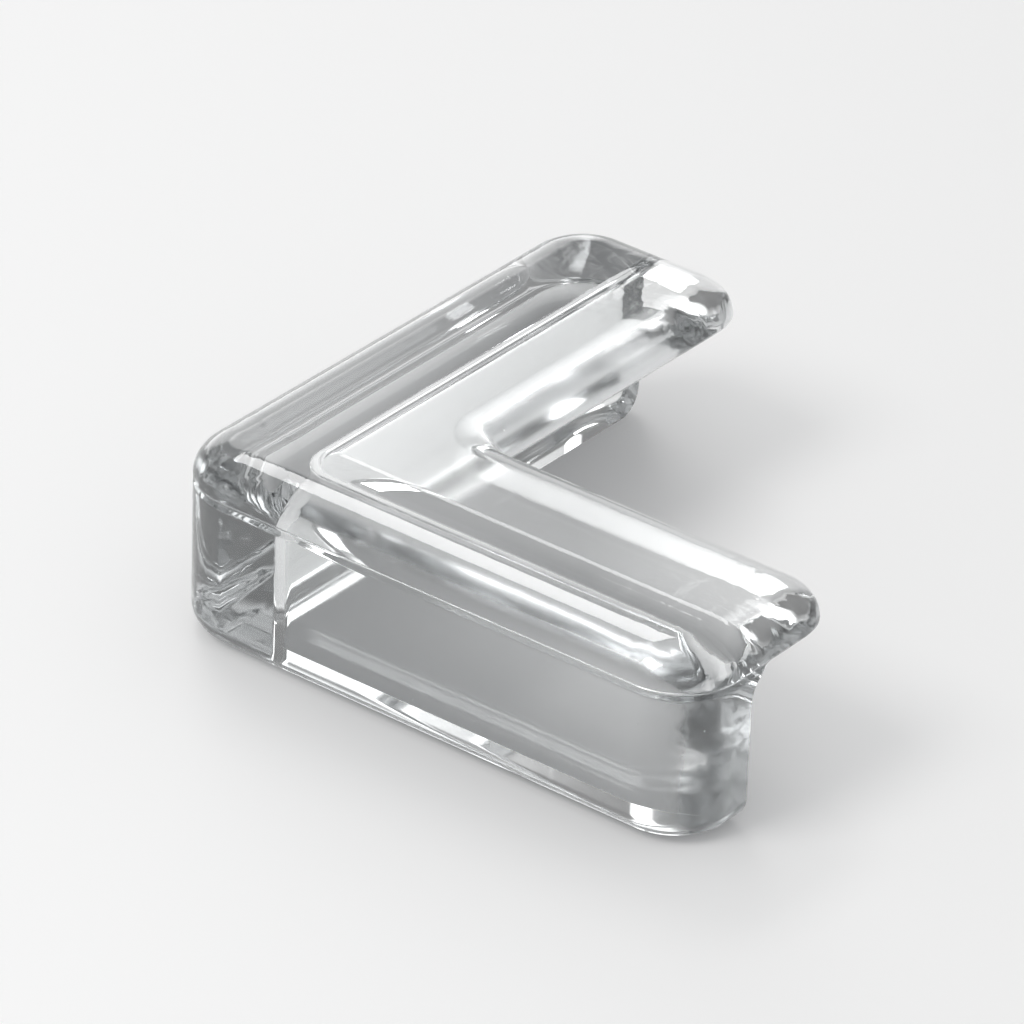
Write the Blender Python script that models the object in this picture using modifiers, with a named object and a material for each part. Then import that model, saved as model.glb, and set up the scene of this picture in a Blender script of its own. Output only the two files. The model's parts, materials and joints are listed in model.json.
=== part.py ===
# Clear soft-plastic guard that covers the corner of a table, desk or shelf.
# One moulding: a flat L-shaped top lies on the board, and a thick L-shaped skirt hangs
# down its two edges. Metres, +Z up. The origin is at the centre of the overall box, at
# the foot of the skirt. One arm runs along +X, the other along +Y.

import math

import bmesh
import bpy
from mathutils import Vector

# Plan
ARM_LENGTH = 0.042
ARM_WIDTH = 0.0151
SKIRT_WALL = 0.006

# Heights
TOP_THICKNESS = 0.0026
SKIRT_DROP = 0.0107

# Corners in plan
OUTER_CORNER_RADIUS = 0.005
END_OUTER_RADIUS = 0.0045
END_INNER_RADIUS = 0.0035
NOTCH_RADIUS = 0.0006

# Edges in section
TOP_RIM_REACH = 0.0032
TOP_RIM_HEIGHT = 0.0023
FOOT_RIM_RADIUS = 0.0018
POCKET_FILLET = 0.0022
EDGE_BREAK = 0.00015
SEAM_DEPTH = 0.00025

# Smoothness
PLAN_STEPS = 12
NOTCH_STEPS = 6
RIM_SEGMENTS = 9
FILLET_SEGMENTS = 7

# How far a cutter runs on past what it cuts
CUTTER_MARGIN = 0.004

WELD_DISTANCE = 1e-6

TOTAL_HEIGHT = SKIRT_DROP + TOP_THICKNESS
TOP_RIM_BASE = TOTAL_HEIGHT - TOP_RIM_HEIGHT
BLANK_HEIGHT = TOP_RIM_BASE + TOP_RIM_REACH
HALF_LENGTH = ARM_LENGTH / 2


def clear_scene():
    for obj in list(bpy.data.objects):
        bpy.data.objects.remove(obj, do_unlink=True)


def make_collection(name):
    collection = bpy.data.collections.new(name)
    bpy.context.scene.collection.children.link(collection)
    return collection


def clear_plastic():
    material = bpy.data.materials.new("clear_plastic")
    material.use_nodes = True
    shader = material.node_tree.nodes["Principled BSDF"]
    shader.inputs["Base Color"].default_value = (0.95, 0.96, 0.96, 1.0)
    shader.inputs["Metallic"].default_value = 0.0
    shader.inputs["Roughness"].default_value = 0.04
    shader.inputs["IOR"].default_value = 1.5
    shader.inputs["Transmission Weight"].default_value = 1.0
    return material


def rounded_outline(corners):
    """Points of a closed outline of right-angled corners, each given as (x, y, radius, steps)."""
    points = []
    for index, (x, y, radius, steps) in enumerate(corners):
        corner = Vector((x, y))
        before = Vector(corners[index - 1][:2])
        after = Vector(corners[(index + 1) % len(corners)][:2])
        inward = (corner - before).normalized()
        onward = (after - corner).normalized()
        centre = corner + radius * (onward - inward)
        for step in range(steps + 1):
            turn = math.radians(90) * step / steps
            points.append(centre + radius * (inward * math.sin(turn) - onward * math.cos(turn)))
    return points


def guard_outline():
    """The L seen from above, from the outer corner round the arm along X."""
    near = -HALF_LENGTH
    far = HALF_LENGTH
    inner = ARM_WIDTH - HALF_LENGTH
    return rounded_outline(
        [
            (near, near, OUTER_CORNER_RADIUS, PLAN_STEPS),
            (far, near, END_OUTER_RADIUS, PLAN_STEPS),
            (far, inner, END_INNER_RADIUS, PLAN_STEPS),
            (inner, inner, NOTCH_RADIUS, NOTCH_STEPS),
            (inner, far, END_INNER_RADIUS, PLAN_STEPS),
            (near, far, END_OUTER_RADIUS, PLAN_STEPS),
        ]
    )


def outline_curve(name, points, height):
    curve = bpy.data.curves.new(name, "CURVE")
    spline = curve.splines.new("POLY")
    spline.points.add(len(points) - 1)
    for target, point in zip(spline.points, points):
        target.co = (point.x, point.y, 0.0, 1.0)
    spline.use_cyclic_u = True
    obj = bpy.data.objects.new(name, curve)
    obj.location.z = height
    bpy.context.scene.collection.objects.link(obj)
    return obj


def mesh_from_curve(obj, collection):
    """Replaces a curve object by a welded mesh object of the same name and place."""
    bpy.context.view_layer.update()
    graph = bpy.context.evaluated_depsgraph_get()
    mesh = bpy.data.meshes.new_from_object(obj.evaluated_get(graph))
    name = obj.name
    place = obj.matrix_world.copy()
    bpy.data.objects.remove(obj, do_unlink=True)
    mesh.name = name
    solid = bpy.data.objects.new(name, mesh)
    solid.matrix_world = place
    collection.objects.link(solid)
    form = bmesh.new()
    form.from_mesh(mesh)
    bmesh.ops.remove_doubles(form, verts=form.verts, dist=WELD_DISTANCE)
    bmesh.ops.dissolve_limit(form, angle_limit=math.radians(1), verts=form.verts, edges=form.edges)
    bmesh.ops.recalc_face_normals(form, faces=form.faces)
    form.to_mesh(mesh)
    form.free()
    return solid


def round_rims(obj):
    """Rounds the top and foot edges all round, and keeps the rounded mesh."""
    form = bmesh.new()
    form.from_mesh(obj.data)
    weight = form.edges.layers.float.new("bevel_weight_edge")
    for edge in form.edges:
        if abs(edge.verts[0].co.z - edge.verts[1].co.z) > WELD_DISTANCE:
            continue
        edge[weight] = 1.0 if edge.verts[0].co.z > 0 else FOOT_RIM_RADIUS / TOP_RIM_REACH
    form.to_mesh(obj.data)
    form.free()

    rims = obj.modifiers.new("rounded rims", "BEVEL")
    rims.width = TOP_RIM_REACH
    rims.segments = RIM_SEGMENTS
    rims.limit_method = "WEIGHT"
    rims.use_clamp_overlap = False

    bpy.context.view_layer.update()
    graph = bpy.context.evaluated_depsgraph_get()
    sharp = obj.data
    rounded = bpy.data.meshes.new_from_object(obj.evaluated_get(graph))
    obj.modifiers.clear()
    obj.data = rounded
    bpy.data.meshes.remove(sharp)
    rounded.name = obj.name


def flatten_top_rim(obj):
    """Presses the rounded top rim down, so that it reaches further in than it is high."""
    base = TOP_RIM_BASE - obj.location.z
    for vertex in obj.data.vertices:
        if vertex.co.z > base:
            vertex.co.z = base + (vertex.co.z - base) * TOP_RIM_HEIGHT / TOP_RIM_REACH


def as_cutter(obj):
    obj.hide_render = True
    obj.display_type = "WIRE"
    return obj


def furniture_corner(collection):
    """The board's corner, which the pocket under the top is shaped by."""
    low = SKIRT_WALL - HALF_LENGTH
    high = HALF_LENGTH + CUTTER_MARGIN
    depth = SKIRT_DROP + CUTTER_MARGIN
    mesh = bpy.data.meshes.new("furniture_corner")
    form = bmesh.new()
    bmesh.ops.create_cube(form, size=1.0)
    bmesh.ops.scale(form, vec=(high - low, high - low, depth), verts=form.verts)
    form.to_mesh(mesh)
    form.free()
    obj = bpy.data.objects.new("furniture_corner", mesh)
    obj.location = ((low + high) / 2, (low + high) / 2, SKIRT_DROP - depth / 2)
    collection.objects.link(obj)
    bevel = obj.modifiers.new("eased edges", "BEVEL")
    bevel.width = POCKET_FILLET
    bevel.segments = FILLET_SEGMENTS
    return as_cutter(obj)


def seam_groove(collection, outline):
    """A four-sided bead along the outline, at the height of the board's top face."""
    path = outline_curve("seam_groove", outline, SKIRT_DROP)
    path.data.dimensions = "3D"
    path.data.bevel_depth = SEAM_DEPTH
    path.data.bevel_resolution = 0
    return as_cutter(mesh_from_curve(path, collection))


def cut(obj, cutter):
    boolean = obj.modifiers.new("cut by " + cutter.name, "BOOLEAN")
    boolean.operation = "DIFFERENCE"
    boolean.solver = "EXACT"
    boolean.object = cutter


def corner_guard(parts, cutters):
    outline = guard_outline()
    blank = outline_curve("corner_guard", outline, BLANK_HEIGHT / 2)
    blank.data.dimensions = "2D"
    blank.data.fill_mode = "BOTH"
    blank.data.extrude = BLANK_HEIGHT / 2
    guard = mesh_from_curve(blank, parts)
    round_rims(guard)
    flatten_top_rim(guard)
    cut(guard, furniture_corner(cutters))

    broken = guard.modifiers.new("broken edges", "BEVEL")
    broken.width = EDGE_BREAK
    broken.segments = 2
    broken.limit_method = "ANGLE"
    broken.angle_limit = math.radians(60)

    cut(guard, seam_groove(cutters, outline))

    guard.data.shade_smooth()
    normals = guard.modifiers.new("flat faces keep their normals", "WEIGHTED_NORMAL")
    normals.keep_sharp = True

    guard.data.materials.append(clear_plastic())
    return guard


clear_scene()
corner_guard(make_collection("corner_protector"), make_collection("cutters"))
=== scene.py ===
# Clear soft-plastic guard for the corner of a table, desk or shelf board.
# One moulding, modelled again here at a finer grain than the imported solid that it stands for.

import json
import math

import bmesh
import bpy
from mathutils import Matrix, Vector


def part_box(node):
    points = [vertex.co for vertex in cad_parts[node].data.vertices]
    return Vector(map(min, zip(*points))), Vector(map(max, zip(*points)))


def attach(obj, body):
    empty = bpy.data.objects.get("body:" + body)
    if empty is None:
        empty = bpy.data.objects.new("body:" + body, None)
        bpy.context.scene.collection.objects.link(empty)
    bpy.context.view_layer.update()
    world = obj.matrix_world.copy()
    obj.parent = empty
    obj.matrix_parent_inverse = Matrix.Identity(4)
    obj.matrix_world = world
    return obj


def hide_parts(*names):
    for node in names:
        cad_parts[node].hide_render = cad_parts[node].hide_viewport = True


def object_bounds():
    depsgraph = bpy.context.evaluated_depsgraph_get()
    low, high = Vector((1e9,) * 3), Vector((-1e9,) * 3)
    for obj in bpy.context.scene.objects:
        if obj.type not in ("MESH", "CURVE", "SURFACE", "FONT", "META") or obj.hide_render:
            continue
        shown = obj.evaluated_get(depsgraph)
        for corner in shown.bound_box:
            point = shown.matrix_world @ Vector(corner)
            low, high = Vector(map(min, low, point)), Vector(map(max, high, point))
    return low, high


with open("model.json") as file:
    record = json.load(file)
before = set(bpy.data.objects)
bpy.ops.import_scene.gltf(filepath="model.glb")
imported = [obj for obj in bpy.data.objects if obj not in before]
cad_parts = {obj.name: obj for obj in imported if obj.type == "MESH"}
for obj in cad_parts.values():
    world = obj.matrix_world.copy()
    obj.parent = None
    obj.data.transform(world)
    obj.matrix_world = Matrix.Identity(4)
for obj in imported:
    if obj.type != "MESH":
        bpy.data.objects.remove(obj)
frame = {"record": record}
cadLow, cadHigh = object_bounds()

print("frame loaded")


# Helpers for working in edit mode


def selectOnly(obj):
    bpy.ops.object.select_all(action="DESELECT")
    obj.select_set(True)
    bpy.context.view_layer.objects.active = obj


def editWith(obj, kind):
    # kind is VERT, EDGE or FACE
    selectOnly(obj)
    bpy.ops.object.mode_set(mode="EDIT")
    bpy.ops.mesh.select_mode(type=kind)
    bpy.ops.mesh.select_all(action="DESELECT")


def pick(obj, parts, test):
    # selects what passes the test, which gets the corners of each part
    form = bmesh.from_edit_mesh(obj.data)
    for part in getattr(form, parts):
        corners = [part.co] if parts == "verts" else [v.co for v in part.verts]
        part.select_set(test(corners))
    form.select_flush_mode()
    bmesh.update_edit_mesh(obj.data)


def stopEditing():
    bpy.ops.object.mode_set(mode="OBJECT")


def applyModifiers(obj):
    selectOnly(obj)
    for modifier in list(obj.modifiers):
        bpy.ops.object.modifier_apply(modifier=modifier.name)


near = 1e-5  # how close counts as the same place, in metres


def at(value, target):
    return abs(value - target) < near


# The guard

guard = {
    "armWidth": 0.0151,
    "skirtWall": 0.006,
    "outerCorner": 0.005,
    "endOuter": 0.0045,
    "endInner": 0.0035,
    "notch": 0.0006,
    "topRimReach": 0.0032,
    "topRimHeight": 0.0023,
    "footRim": 0.0018,
    "pocketFillet": 0.0022,
    "edgeBreak": 0.00012,
    "seamDepth": 0.00025,
    "seamReach": 0.00035,
    "planSteps": 24,
    "rimSteps": 18,
    "filletSteps": 16,
    "cutterMargin": 0.004,
    # angles in degrees
    "sharpFrom": 55,
    "smoothUpTo": 40,
}


def boardLevel():
    # the board's top face meets the underside of the guard's top here
    for mount in frame["record"]["mounts"]:
        if mount["name"] == "top_underside":
            return mount["pos_m"][2]


def flatL(low, high, width):
    bpy.ops.object.select_all(action="DESELECT")
    bpy.ops.mesh.primitive_plane_add(size=width, location=(low.x + width / 2, low.y + width / 2, low.z))
    obj = bpy.context.object
    obj.name = obj.data.name = "guardShell"
    bpy.ops.object.transform_apply(location=True, rotation=False, scale=False)
    inner = Vector((low.x + width, low.y + width, low.z))
    reach = high.x - inner.x

    editWith(obj, "EDGE")
    pick(obj, "edges", lambda c: all(at(v.x, inner.x) for v in c))
    bpy.ops.mesh.extrude_region_move(TRANSFORM_OT_translate={"value": (reach, 0, 0)})
    pick(obj, "edges", lambda c: all(at(v.y, inner.y) and v.x < inner.x + near for v in c))
    bpy.ops.mesh.extrude_region_move(TRANSFORM_OT_translate={"value": (0, reach, 0)})
    bpy.ops.mesh.select_all(action="SELECT")
    bpy.ops.mesh.dissolve_limited(angle_limit=math.radians(1))
    return obj


def roundCorners(obj, radius, places):
    bpy.ops.mesh.select_mode(type="VERT")
    bpy.ops.mesh.select_all(action="DESELECT")
    pick(obj, "verts", lambda c: any(at(c[0].x, x) and at(c[0].y, y) for x, y in places))
    bpy.ops.mesh.bevel(
        offset=radius, segments=guard["planSteps"], affect="VERTICES", clamp_overlap=False
    )


def roundRim(obj, height, radius):
    bpy.ops.mesh.select_mode(type="EDGE")
    bpy.ops.mesh.select_all(action="DESELECT")
    pick(obj, "edges", lambda c: all(at(v.z, height) for v in c))
    bpy.ops.mesh.bevel(offset=radius, segments=guard["rimSteps"], affect="EDGES", clamp_overlap=False)


def flattenTopRim(obj, base):
    # the rim is rounded first, then pressed down, so it reaches further in than it is high
    bpy.ops.mesh.select_mode(type="VERT")
    bpy.ops.mesh.select_all(action="DESELECT")
    pick(obj, "verts", lambda c: c[0].z > base + near)
    press = guard["topRimHeight"] / guard["topRimReach"]
    bpy.ops.transform.resize(value=(1, 1, press), center_override=(0, 0, base))


def pressSeam(obj, level):
    # a shallow line where the moulding's top meets its skirt
    reach = guard["seamReach"]
    for height, depth in ((level - reach, 0), (level, guard["seamDepth"]), (level + reach, 0)):
        bpy.ops.mesh.select_all(action="SELECT")
        bpy.ops.mesh.bisect(plane_co=(0, 0, height), plane_no=(0, 0, 1))
        if depth:
            bpy.ops.mesh.select_mode(type="VERT")
            pick(obj, "verts", lambda c: at(c[0].z, height))
            bpy.ops.transform.shrink_fatten(value=-depth)
    bpy.ops.mesh.select_mode(type="EDGE")
    pick(obj, "edges", lambda c: all(at(v.z, level) for v in c))
    bpy.ops.mesh.bevel(offset=reach / 3, segments=3, affect="EDGES", clamp_overlap=False)
    for side in (-1, 1):
        pick(obj, "edges", lambda c: all(at(v.z, level + side * reach) for v in c))
        bpy.ops.mesh.bevel(offset=reach / 4, segments=2, affect="EDGES", clamp_overlap=False)


def boardCorner(low, high, level):
    wall = guard["skirtWall"]
    margin = guard["cutterMargin"]
    inside = Vector((low.x + wall, low.y + wall, low.z - margin))
    outside = Vector((high.x + margin, high.y + margin, level))
    bpy.ops.object.select_all(action="DESELECT")
    bpy.ops.mesh.primitive_cube_add(size=1, location=(inside + outside) / 2, scale=outside - inside)
    obj = bpy.context.object
    obj.name = obj.data.name = "boardCorner"
    bpy.ops.object.transform_apply(location=True, rotation=False, scale=True)

    editWith(obj, "EDGE")

    def meetsTheCorner(ends):
        return any(at(v.x, inside.x) and at(v.y, inside.y) and at(v.z, level) for v in ends)

    pick(obj, "edges", meetsTheCorner)
    bpy.ops.mesh.bevel(
        offset=guard["pocketFillet"], segments=guard["filletSteps"], affect="EDGES", clamp_overlap=False
    )
    stopEditing()
    return obj


def cutPocket(obj, cutter):
    cut = obj.modifiers.new("pocket", "BOOLEAN")
    cut.operation = "DIFFERENCE"
    cut.solver = "EXACT"
    cut.object = cutter
    applyModifiers(obj)
    bpy.data.objects.remove(cutter, do_unlink=True)


def breakEdges(obj):
    editWith(obj, "EDGE")
    bpy.ops.mesh.edges_select_sharp(sharpness=math.radians(guard["sharpFrom"]))
    bpy.ops.mesh.bevel(offset=guard["edgeBreak"], segments=3, affect="EDGES", clamp_overlap=True)
    stopEditing()


def smoothShading(obj):
    selectOnly(obj)
    bpy.ops.object.shade_smooth_by_angle(angle=math.radians(guard["smoothUpTo"]))
    weights = obj.modifiers.new("flats stay flat", "WEIGHTED_NORMAL")
    weights.keep_sharp = True
    weights.weight = 100  # the largest faces decide
    applyModifiers(obj)


def makeGuard():
    low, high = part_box("corner_guard")
    level = boardLevel()
    width = guard["armWidth"]
    innerX = low.x + width
    innerY = low.y + width

    obj = flatL(low, high, width)
    roundCorners(obj, guard["outerCorner"], [(low.x, low.y)])
    roundCorners(obj, guard["endOuter"], [(high.x, low.y), (low.x, high.y)])
    roundCorners(obj, guard["endInner"], [(high.x, innerY), (innerX, high.y)])
    roundCorners(obj, guard["notch"], [(innerX, innerY)])
    bpy.ops.mesh.select_all(action="SELECT")
    rimBase = high.z - guard["topRimHeight"]
    blankTop = rimBase + guard["topRimReach"]
    bpy.ops.mesh.extrude_region_move(TRANSFORM_OT_translate={"value": (0, 0, blankTop - low.z)})
    bpy.ops.mesh.select_all(action="SELECT")
    bpy.ops.mesh.normals_make_consistent(inside=False)
    roundRim(obj, blankTop, guard["topRimReach"])
    flattenTopRim(obj, rimBase)
    roundRim(obj, low.z, guard["footRim"])
    pressSeam(obj, level)
    stopEditing()
    cutPocket(obj, boardCorner(low, high, level))
    breakEdges(obj)
    smoothShading(obj)
    print("guard modelled:", len(obj.data.polygons), "faces")
    return obj


# Clear plastic

plastic = {
    "colour": (0.96, 0.97, 0.97, 1),
    "ior": 1.47,
    "gloss": 0.02,
    # extra roughness on the pocket's flats, and how it comes in off a flat, past the fillet
    # and between the walls and the underside
    "wallSatin": 0.08,
    "topSatin": 0.09,
    "flatFade": (-0.0001, -0.00003),
    "filletFade": (-0.0003, 0.0001),
    "undersideFade": (0.0002, 0.0001),
    "shadowTint": (0.75, 0.755, 0.76, 1),
    "bodyColour": (0.5, 0.52, 0.53, 1),
    "bodyDensity": 26,
    # slow moulded waves all over, and tighter ones where the melt turned the corners
    "waveSize": 0.007,
    "waveHeight": 0.000007,
    "swirlSize": 0.0019,
    "swirlHeight": 0.00003,
    "swirlFrom": 0.006,
    "swirlTo": 0.012,
    # fine handling marks, and wear along the foot
    "scuffSpacing": 0.0009,
    "scuffLength": 0.012,
    "scuffFrom": 0.66,
    "scuffTo": 0.72,
    "scuffRoughness": 0.035,
    "speckSpacing": 0.0016,
    "speckSize": 0.00005,
    "speckShare": 0.3,
    "speckRoughness": 0.35,
    "wearSize": 0.002,
    "wearFrom": 0.4,
    "wearTo": 0.65,
    "wearHeight": 0.0016,
    "wearRoughness": 0.02,
}


def addNode(tree, kind, values, **settings):
    node = tree.nodes.new("ShaderNode" + kind)
    for name, value in settings.items():
        setattr(node, name, value)
    for socket, value in values.items():
        if isinstance(value, bpy.types.NodeSocket):
            tree.links.new(value, node.inputs[socket])
        else:
            node.inputs[socket].default_value = value
    return node


def maths(tree, operation, *values):
    return addNode(tree, "Math", dict(enumerate(values)), operation=operation).outputs[0]


def fade(tree, value, start, end):
    # 0 at start, 1 at end, eased between
    span = {"Value": value, "From Min": start, "From Max": end}
    return addNode(tree, "MapRange", span, interpolation_type="SMOOTHSTEP").outputs["Result"]


def pocketFaces(tree, place):
    # 1 on the flat faces that lie against the board, and 1 under the top
    low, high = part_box("corner_guard")
    split = addNode(tree, "SeparateXYZ", {"Vector": place})
    x = maths(tree, "SUBTRACT", split.outputs["X"], low.x + guard["skirtWall"])
    y = maths(tree, "SUBTRACT", split.outputs["Y"], low.y + guard["skirtWall"])
    z = maths(tree, "SUBTRACT", boardLevel(), split.outputs["Z"])
    least = maths(tree, "MINIMUM", maths(tree, "MINIMUM", x, y), z)
    most = maths(tree, "MAXIMUM", maths(tree, "MAXIMUM", x, y), z)
    total = maths(tree, "ADD", maths(tree, "ADD", x, y), z)
    middle = maths(tree, "SUBTRACT", maths(tree, "SUBTRACT", total, least), most)
    onPocket = fade(tree, least, *plastic["flatFade"])
    pastFillet = fade(tree, middle, *(guard["pocketFillet"] + step for step in plastic["filletFade"]))
    return maths(tree, "MULTIPLY", onPocket, pastFillet), fade(tree, z, *plastic["undersideFade"])


def nearTurns(tree, place):
    # 1 at the outer corner and over both ends, 0 along the arms
    low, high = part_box("corner_guard")
    middle = guard["armWidth"] / 2
    reach = plastic["swirlTo"]
    for x, y in ((low.x, low.y), (high.x, low.y + middle), (low.x + middle, high.y)):
        spot = {0: place, 1: (x, y, boardLevel())}
        away = addNode(tree, "VectorMath", spot, operation="DISTANCE").outputs["Value"]
        reach = maths(tree, "MINIMUM", reach, away)
    return fade(tree, reach, plastic["swirlTo"], plastic["swirlFrom"])


def mouldedWaves(tree, place, turns):
    slow = addNode(tree, "TexNoise", {"Vector": place, "Scale": 1 / plastic["waveSize"], "Detail": 1})
    slowHeight = maths(tree, "MULTIPLY", slow.outputs["Fac"], plastic["waveHeight"])
    shape = {"Vector": place, "Scale": 1 / plastic["swirlSize"], "Detail": 1.5, "Distortion": 0.8}
    swirl = addNode(tree, "TexNoise", shape)
    swirlHeight = maths(tree, "MULTIPLY", swirl.outputs["Fac"], plastic["swirlHeight"])
    return maths(tree, "ADD", slowHeight, maths(tree, "MULTIPLY", swirlHeight, turns))


def hairlines(tree, place, turn, shift):
    # long thin scuffs, all lying one way
    stretch = (1 / plastic["scuffSpacing"], 1 / plastic["scuffLength"], 1 / plastic["scuffLength"])
    laid = {"Vector": place, "Location": shift, "Rotation": (0, 0, math.radians(turn)), "Scale": stretch}
    lines = {"Vector": addNode(tree, "Mapping", laid).outputs["Vector"], "Scale": 1, "Detail": 2}
    noise = addNode(tree, "TexNoise", lines).outputs["Fac"]
    return fade(tree, noise, plastic["scuffFrom"], plastic["scuffTo"])


def specks(tree, place):
    cells = addNode(tree, "TexVoronoi", {"Vector": place, "Scale": 1 / plastic["speckSpacing"]})
    size = plastic["speckSize"] / plastic["speckSpacing"]
    dot = fade(tree, cells.outputs["Distance"], size, size / 2)
    chance = addNode(tree, "SeparateColor", {"Color": cells.outputs["Color"]}).outputs["Red"]
    kept = maths(tree, "GREATER_THAN", chance, 1 - plastic["speckShare"])
    return maths(tree, "MULTIPLY", dot, kept)


def surfaceRoughness(tree, place, turns):
    # the pocket is satin, but clear under the ends, where the swirls show
    satin, underTop = pocketFaces(tree, place)
    topFinish = addNode(tree, "Mix", {0: turns, 2: plastic["topSatin"], 3: 0}).outputs[0]
    grain = addNode(tree, "Mix", {0: underTop, 2: plastic["wallSatin"], 3: topFinish})
    rough = maths(tree, "MULTIPLY_ADD", satin, grain.outputs[0], plastic["gloss"])
    crossing = hairlines(tree, place, -51, (3, 7, 2))
    scuffs = maths(tree, "MAXIMUM", hairlines(tree, place, 28, (0, 0, 0)), crossing)
    rough = maths(tree, "MULTIPLY_ADD", scuffs, plastic["scuffRoughness"], rough)
    rough = maths(tree, "MULTIPLY_ADD", specks(tree, place), plastic["speckRoughness"], rough)
    height = addNode(tree, "SeparateXYZ", {"Vector": place}).outputs["Z"]
    foot = fade(tree, height, plastic["wearHeight"], 0)
    spread = {"Vector": place, "Scale": 1 / plastic["wearSize"], "Detail": 3}
    patches = addNode(tree, "TexNoise", spread).outputs["Fac"]
    worn = maths(tree, "MULTIPLY", foot, fade(tree, patches, plastic["wearFrom"], plastic["wearTo"]))
    return maths(tree, "MULTIPLY_ADD", worn, plastic["wearRoughness"], rough)


def clearPlastic():
    material = bpy.data.materials.new("clearPlastic")
    material.use_nodes = True
    tree = material.node_tree
    output = tree.nodes["Material Output"]
    place = tree.nodes.new("ShaderNodeTexCoord").outputs["Object"]
    turns = nearTurns(tree, place)
    waves = mouldedWaves(tree, place, turns)
    bump = addNode(tree, "Bump", {"Strength": 1, "Distance": 1, "Height": waves})

    shader = tree.nodes["Principled BSDF"]
    shader.inputs["Base Color"].default_value = plastic["colour"]
    shader.inputs["Metallic"].default_value = 0
    shader.inputs["IOR"].default_value = plastic["ior"]
    shader.inputs["Transmission Weight"].default_value = 1
    tree.links.new(surfaceRoughness(tree, place, turns), shader.inputs["Roughness"])
    tree.links.new(bump.outputs["Normal"], shader.inputs["Normal"])

    # lamps shine through to the floor and leave a soft grey shadow
    through = addNode(tree, "BsdfTransparent", {"Color": plastic["shadowTint"]})
    shadow = tree.nodes.new("ShaderNodeLightPath").outputs["Is Shadow Ray"]
    surface = {0: shadow, 1: shader.outputs["BSDF"], 2: through.outputs["BSDF"]}
    tree.links.new(addNode(tree, "MixShader", surface).outputs["Shader"], output.inputs["Surface"])

    # thick parts look greyer than thin ones
    body = {"Color": plastic["bodyColour"], "Density": plastic["bodyDensity"]}
    tree.links.new(addNode(tree, "VolumeAbsorption", body).outputs["Volume"], output.inputs["Volume"])
    return material


shell = makeGuard()
shell.data.materials.clear()
shell.data.materials.append(clearPlastic())
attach(shell, "root")
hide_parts("corner_guard")
print("clear plastic laid on")


# Floor, light and camera

studio = {
    "floorSize": 2.0,
    "floorGap": 0.00005,
    "floorColour": (0.95, 0.95, 0.95, 1),
}


def makeFloor():
    bpy.ops.object.select_all(action="DESELECT")
    bpy.ops.mesh.primitive_plane_add(size=studio["floorSize"], location=(0, 0, cadLow.z - studio["floorGap"]))
    floor = bpy.context.object
    floor.name = "studioFloor"
    material = bpy.data.materials.new("paleFloor")
    material.use_nodes = True
    shader = material.node_tree.nodes["Principled BSDF"]
    shader.inputs["Base Color"].default_value = studio["floorColour"]
    shader.inputs["Roughness"].default_value = 1
    shader.inputs["Specular IOR Level"].default_value = 0
    floor.data.materials.append(material)


sky = {
    # height from the horizon, 0, to overhead, 1, and how bright it is there
    "heights": ((0.0, 0.9), (0.1, 0.85), (0.3, 0.26), (0.7, 0.28), (1.0, 0.6)),
    # soft patches of light that the rims and the pocket's fillet pick up, in degrees
    "glows": (
        {"turn": 50, "height": 9, "reach": 15, "edge": 6, "level": 2.0},
        {"turn": 46, "height": 29.5, "reach": 5.5, "edge": 3.2, "level": 2.3},
    ),
}


def skyDirection(turn, height):
    # degrees from +Y towards -X, and up from the horizon
    turn = math.radians(turn)
    height = math.radians(height)
    return Vector((-math.sin(turn) * math.cos(height), math.cos(turn) * math.cos(height), math.sin(height)))


def makeWorld():
    world = bpy.data.worlds.new("softStudio")
    bpy.context.scene.world = world
    world.use_nodes = True
    tree = world.node_tree
    way = tree.nodes.new("ShaderNodeTexCoord").outputs["Generated"]
    ramp = addNode(tree, "ValToRGB", {"Fac": addNode(tree, "SeparateXYZ", {"Vector": way}).outputs["Z"]})
    stops = ramp.color_ramp.elements
    for position, level in sky["heights"][1:-1]:
        stops.new(position)
    for stop, (position, level) in zip(stops, sky["heights"]):
        stop.position = position
        stop.color = (level, level, level, 1)
    light = ramp.outputs["Color"]
    for glow in sky["glows"]:
        aim = {0: way, 1: skyDirection(glow["turn"], glow["height"])}
        closeness = addNode(tree, "VectorMath", aim, operation="DOT_PRODUCT").outputs["Value"]
        outer = math.cos(math.radians(glow["reach"] + glow["edge"]))
        inner = math.cos(math.radians(glow["reach"]))
        patch = maths(tree, "MULTIPLY", fade(tree, closeness, outer, inner), glow["level"])
        light = addNode(tree, "VectorMath", {0: light, 1: patch}, operation="ADD").outputs["Vector"]
    tree.links.new(light, tree.nodes["Background"].inputs["Color"])


lamps = [
    {
        "name": "key",
        "place": (-0.15, -0.35, 0.45),
        "aim": (0, 0, 0),
        "wide": 0.25,
        "tall": 0.25,
        "level": 8.5,
    },
    {
        "name": "strip",
        "place": (-0.32, 0.23, 0.47),
        "aim": (0, 0, 0),
        "up": (0, 1, 0),
        "wide": 0.12,
        "tall": 0.24,
        "level": 8,
    },
]


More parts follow.
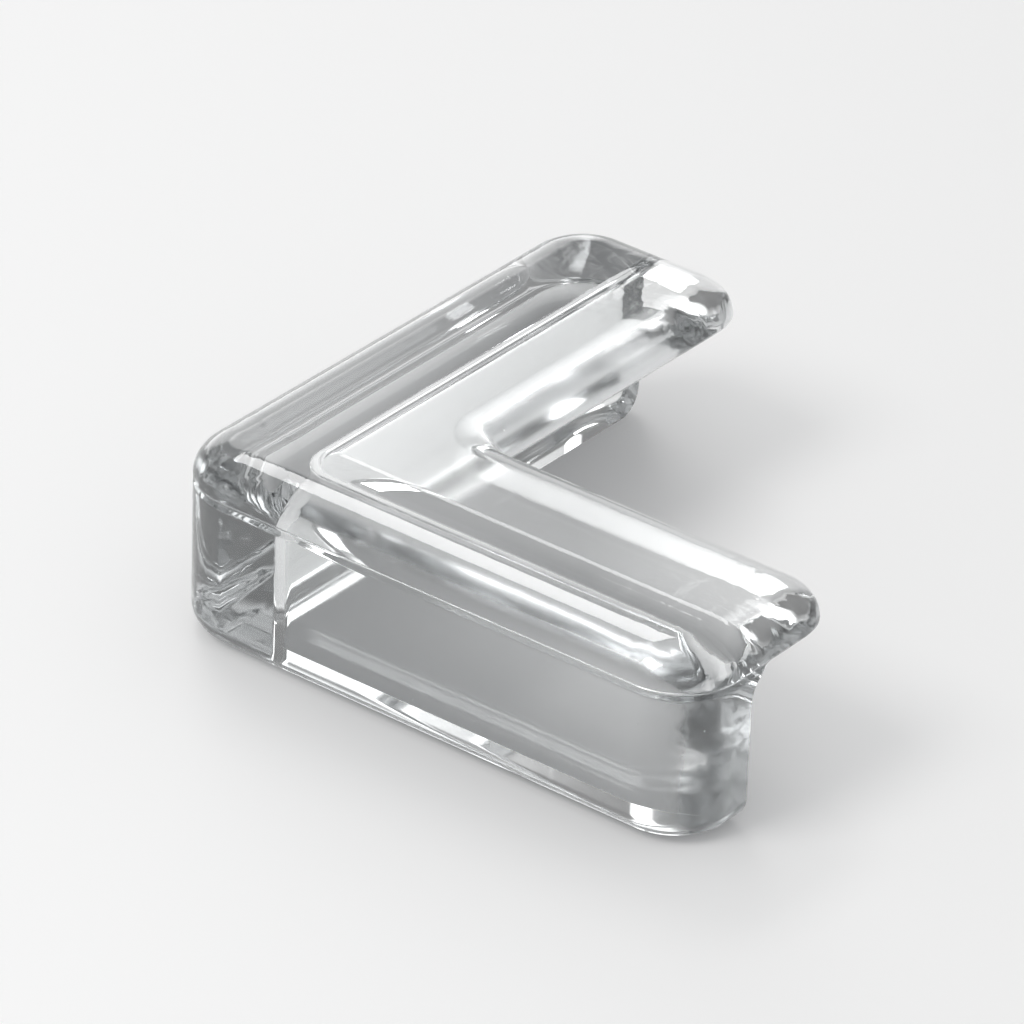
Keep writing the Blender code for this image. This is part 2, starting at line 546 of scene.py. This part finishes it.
def makeLamps():
    for lamp in lamps:
        data = bpy.data.lights.new(lamp["name"], "AREA")
        data.shape = "RECTANGLE"
        data.size = lamp["wide"]
        data.size_y = lamp["tall"]
        data.energy = lamp["level"] * math.pi * lamp["wide"] * lamp["tall"]
        obj = bpy.data.objects.new(lamp["name"], data)
        bpy.context.scene.collection.objects.link(obj)
        ray = (Vector(lamp["aim"]) - Vector(lamp["place"])).normalized()
        side = ray.cross(Vector(lamp.get("up", (0, 0, 1)))).normalized()
        axes = Matrix((side, side.cross(ray), -ray)).transposed()
        obj.matrix_world = Matrix.Translation(lamp["place"]) @ axes.to_4x4()


# The camera was set against the photograph by the guard's own edges.
# Distances are from the outer corner at board level, along the camera's own axes.
view = {
    "azimuth": 37.3,
    "elevation": 30.53,
    "roll": -2.05,
    "focal": 8000,
    "imageSize": 1024,
    "sensor": 36,
    "right": -0.022114,
    "up": 0.001222,
    "ahead": 0.501204,
}


def makeCamera():
    turn = math.radians(view["azimuth"])
    tilt = math.radians(view["elevation"])
    roll = math.radians(view["roll"])
    right = Vector((math.cos(turn), math.sin(turn), 0))
    away = Vector((-math.sin(turn), math.cos(turn), 0))
    ahead = away * math.cos(tilt) - Vector((0, 0, 1)) * math.sin(tilt)
    up = right.cross(ahead)
    corner = Vector((cadLow.x, cadLow.y, boardLevel()))
    place = corner - (right * view["right"] + up * view["up"] + ahead * view["ahead"])
    across = right * math.cos(roll) - up * math.sin(roll)
    upright = right * math.sin(roll) + up * math.cos(roll)
    axes = Matrix((across, upright, -ahead)).transposed()
    data = bpy.data.cameras.new("camera")
    data.sensor_width = view["sensor"]
    data.lens = view["focal"] * view["sensor"] / view["imageSize"]
    data.clip_start = 0.01
    data.clip_end = 10
    camera = bpy.data.objects.new("camera", data)
    bpy.context.scene.collection.objects.link(camera)
    camera.matrix_world = Matrix.Translation(place) @ axes.to_4x4()
    bpy.context.scene.camera = camera


makeFloor()
makeWorld()
makeLamps()
print("studio lit by", len(lamps), "lamps and the sky")
makeCamera()
print("camera set")

scene = bpy.context.scene
scene.view_settings.view_transform = "Standard"
scene.cycles.glossy_bounces = 12
scene.cycles.transmission_bounces = 16
scene.cycles.max_bounces = 20
scene.cycles.caustics_refractive = False
scene.cycles.caustics_reflective = False
